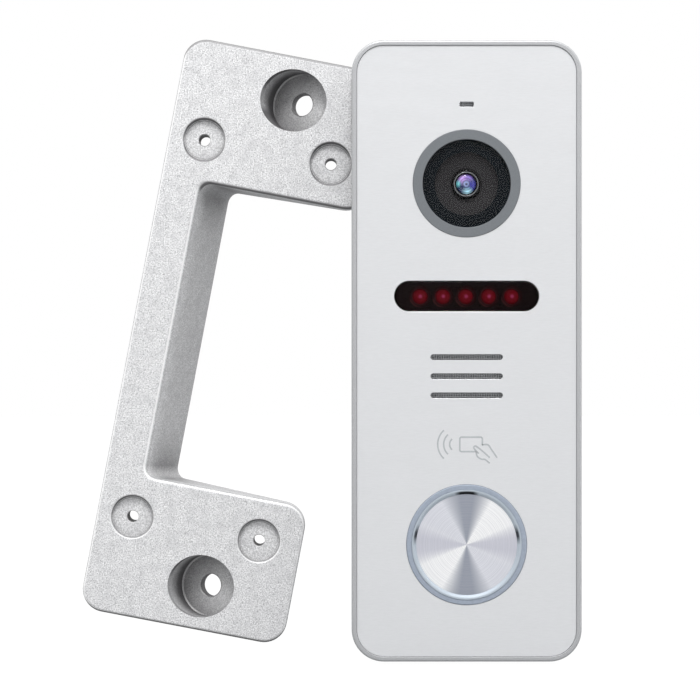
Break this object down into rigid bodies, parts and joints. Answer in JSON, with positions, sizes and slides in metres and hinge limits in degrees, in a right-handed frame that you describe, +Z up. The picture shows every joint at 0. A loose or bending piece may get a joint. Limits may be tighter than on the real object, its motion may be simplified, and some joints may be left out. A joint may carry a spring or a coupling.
{
  "type": "outdoor video intercom call panel",
  "caption": "Slim outdoor video call panel with camera, infra-red lamps, speaker, card reader and round call button, on its wall plate, with a loose wedge bracket beside it.",
  "frame": {"origin": "middle of the wall plate's back, where it lies on the wall", "axes": "+Z up, +X to the right seen from the front, +Y into the wall; the face looks to -Y"},
  "size_m": [0.1109, 0.0394, 0.1381],
  "materials": {
    "anodised_frame": "fine satin anodised edge and sides",
    "brushed_face": "very fine brushed, clear anodised",
    "cast_bracket": "tumbled die casting, fine speckle, bright worn edges",
    "zinc_plate": "zinc plated pressed sheet",
    "screw_steel": "plain stainless fasteners",
    "cover_plastic": "dark moulded rear cover",
    "seal_rubber": "soft black seal",
    "camera_trim": "dark satin anodised ring",
    "window_glass": "clear cover glass with a black printed border",
    "lens_black": "black lens mount and shroud",
    "lens_coated": "coated lens, violet and cyan reflections",
    "ir_window_dark": "dark smoked acrylic that passes infra-red",
    "led_red": "deep red lamp bodies",
    "board_green": "solder mask",
    "connector_cream": "nylon header",
    "silver_can": "pressed can",
    "mesh_grey": "fine woven dust mesh",
    "speaker_black": "basket and cone",
    "button_steel": "spun concentric finish",
    "light_ring": "translucent light guide, unlit",
    "switch_plastic": "switch and holder",
    "plunger_tan": "switch plunger",
    "coil_copper": "varnished copper winding"
  },
  "bodies": {
    "wall_plate": {"mounting_plate": "zinc_plate"},
    "panel": {"housing": "anodised_frame", "face_plate": "brushed_face", "rear_cover": "cover_plastic", "rear_gasket": "seal_rubber", "cover_screw_1": "screw_steel", "cover_screw_2": "screw_steel", "cover_screw_3": "screw_steel", "cover_screw_4": "screw_steel", "cable_grommet": "seal_rubber", "camera_ring": "camera_trim", "camera_window": "window_glass", "lens_baffle": "lens_black", "lens_barrel": "lens_black", "lens_glass": "lens_coated", "lens_holder": "lens_black", "image_sensor": "silver_can", "camera_board": "board_green", "ir_window": "ir_window_dark", "ir_led_shroud": "lens_black", "ir_led_1": "led_red", "ir_led_2": "led_red", "ir_led_3": "led_red", "ir_led_4": "led_red", "ir_led_5": "led_red", "ir_board": "board_green", "microphone": "silver_can", "microphone_boot": "seal_rubber", "speaker_frame": "speaker_black", "speaker_cone": "speaker_black", "speaker_magnet": "silver_can", "speaker_gasket": "seal_rubber", "speaker_mesh": "mesh_grey", "button_light_ring": "light_ring", "button_base": "switch_plastic", "switch_body": "switch_plastic", "reader_coil": "coil_copper", "main_board": "board_green", "cable_header": "connector_cream"},
    "call_button": {"call_button": "button_steel"},
    "switch_plunger": {"switch_plunger": "plunger_tan"},
    "lock_screw": {"lock_screw": "screw_steel"},
    "bracket": {"wedge_bracket": "cast_bracket"}
  },
  "joints": [
    {"name": "panel_swing", "type": "hinge", "parent": "wall_plate", "child": "panel", "pos_m": [0, -0.0004, 0.0675], "axis": [-1, 0, 0], "range_deg": [0, 12]},
    {"name": "call_press", "type": "slide", "parent": "panel", "child": "call_button", "axis": [0, 1, 0], "range_m": [0, 0.0008], "stiffness_N_per_m": 1500, "springref_m": -0.0005},
    {"name": "switch_plunger_travel", "type": "slide", "parent": "panel", "child": "switch_plunger", "axis": [0, 1, 0], "range_m": [0, 0.0005]},
    {"name": "lock_screw_travel", "type": "slide", "parent": "panel", "child": "lock_screw", "axis": [0, 0, 1], "range_m": [0, 0.0017]},
    {"name": "bracket_to_seat", "type": "hinge", "parent": "wall_plate", "child": "bracket", "pos_m": [-0.01341, 0, 0.27731], "axis": [0, -1, 0], "range_deg": [0, 10.8]}
  ],
  "couplings": [
    {"joint": "switch_plunger_travel", "follows": "call_press", "ratio": 0.5}
  ]
}
